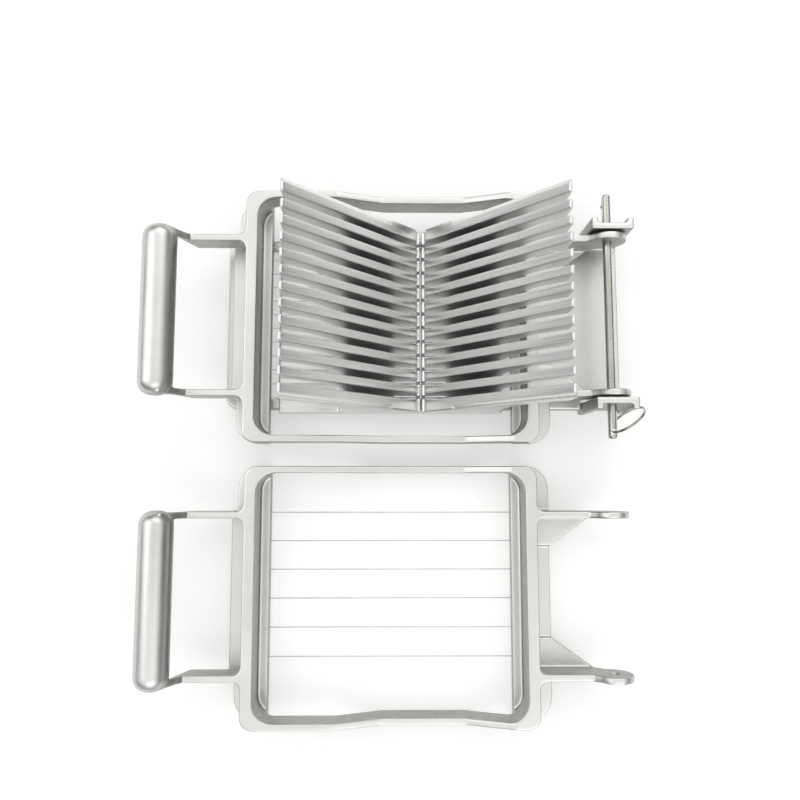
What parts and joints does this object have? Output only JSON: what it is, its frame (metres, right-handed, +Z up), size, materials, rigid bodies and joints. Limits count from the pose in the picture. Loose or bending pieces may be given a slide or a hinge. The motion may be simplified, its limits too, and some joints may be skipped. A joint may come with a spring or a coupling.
{
  "type": "egg slicer",
  "caption": "Cast-aluminium wire egg slicer: V-shaped fin rack on a low base, a hinged wire cutting frame with a raised handle on a removable pin, and a loose interchangeable frame.",
  "frame": {"origin": "on the table, under the middle of the whole set (slicer and loose frame)", "axes": "+Z up, +X from the handles towards the hinge pin, +Y from the loose frame towards the slicer, along the hinge pin"},
  "size_m": [0.2717, 0.293, 0.0963],
  "materials": {
    "cast_aluminium": "satin cast and polished",
    "brushed_aluminium": "linished fin tops",
    "wire_steel": "drawn stainless wire",
    "ferrule_metal": "crimped sleeve",
    "pin_steel": "turned and polished",
    "spring_steel": "spring wire",
    "ring_steel": "nickel plated",
    "screw_steel": "zinc plated"
  },
  "bodies": {
    "base": {"base_casting": "cast_aluminium", "left_fin_rack": "brushed_aluminium", "right_fin_rack": "brushed_aluminium", "rack_screws": "screw_steel"},
    "cutting_frame": {"cutting_frame_casting": "cast_aluminium", "wire_ferrules": "ferrule_metal", "cutting_wire_01": "wire_steel", "cutting_wire_02": "wire_steel", "cutting_wire_03": "wire_steel", "cutting_wire_04": "wire_steel", "cutting_wire_05": "wire_steel", "cutting_wire_06": "wire_steel", "cutting_wire_07": "wire_steel", "cutting_wire_08": "wire_steel", "cutting_wire_09": "wire_steel", "cutting_wire_10": "wire_steel", "cutting_wire_11": "wire_steel", "cutting_wire_12": "wire_steel"},
    "hinge_pin": {"hinge_pin": "pin_steel", "detent_spring": "spring_steel"},
    "detent_ball": {"detent_ball": "pin_steel"},
    "pull_ring": {"pull_ring": "ring_steel"},
    "spare_frame": {"spare_frame_casting": "cast_aluminium", "spare_wire_ferrules": "ferrule_metal", "spare_wire_1": "wire_steel", "spare_wire_2": "wire_steel", "spare_wire_3": "wire_steel", "spare_wire_4": "wire_steel", "spare_wire_5": "wire_steel", "spare_wire_6": "wire_steel"}
  },
  "joints": [
    {"name": "frame_hinge", "type": "hinge", "parent": "base", "child": "cutting_frame", "pos_m": [0.11823, 0.07645, 0.032], "axis": [0, 1, 0], "range_deg": [0, 100]},
    {"name": "pin_pull", "type": "slide", "parent": "base", "child": "hinge_pin", "axis": [0, -1, 0], "range_m": [0, 0.011]},
    {"name": "ring_swing", "type": "hinge", "parent": "hinge_pin", "child": "pull_ring", "pos_m": [0.11823, 0.01205, 0.032], "axis": [0, 0, 1], "range_deg": [-240, 0]},
    {"name": "detent_press", "type": "slide", "parent": "hinge_pin", "child": "detent_ball", "axis": [1, 0, 0], "range_m": [0, 0.0007], "stiffness_N_per_m": 50, "deforming": ["detent_spring"]},
    {"name": "spare_lift", "type": "slide", "parent": "base", "child": "spare_frame", "axis": [0, 0, 1], "range_m": [0, 0.1]}
  ]
}
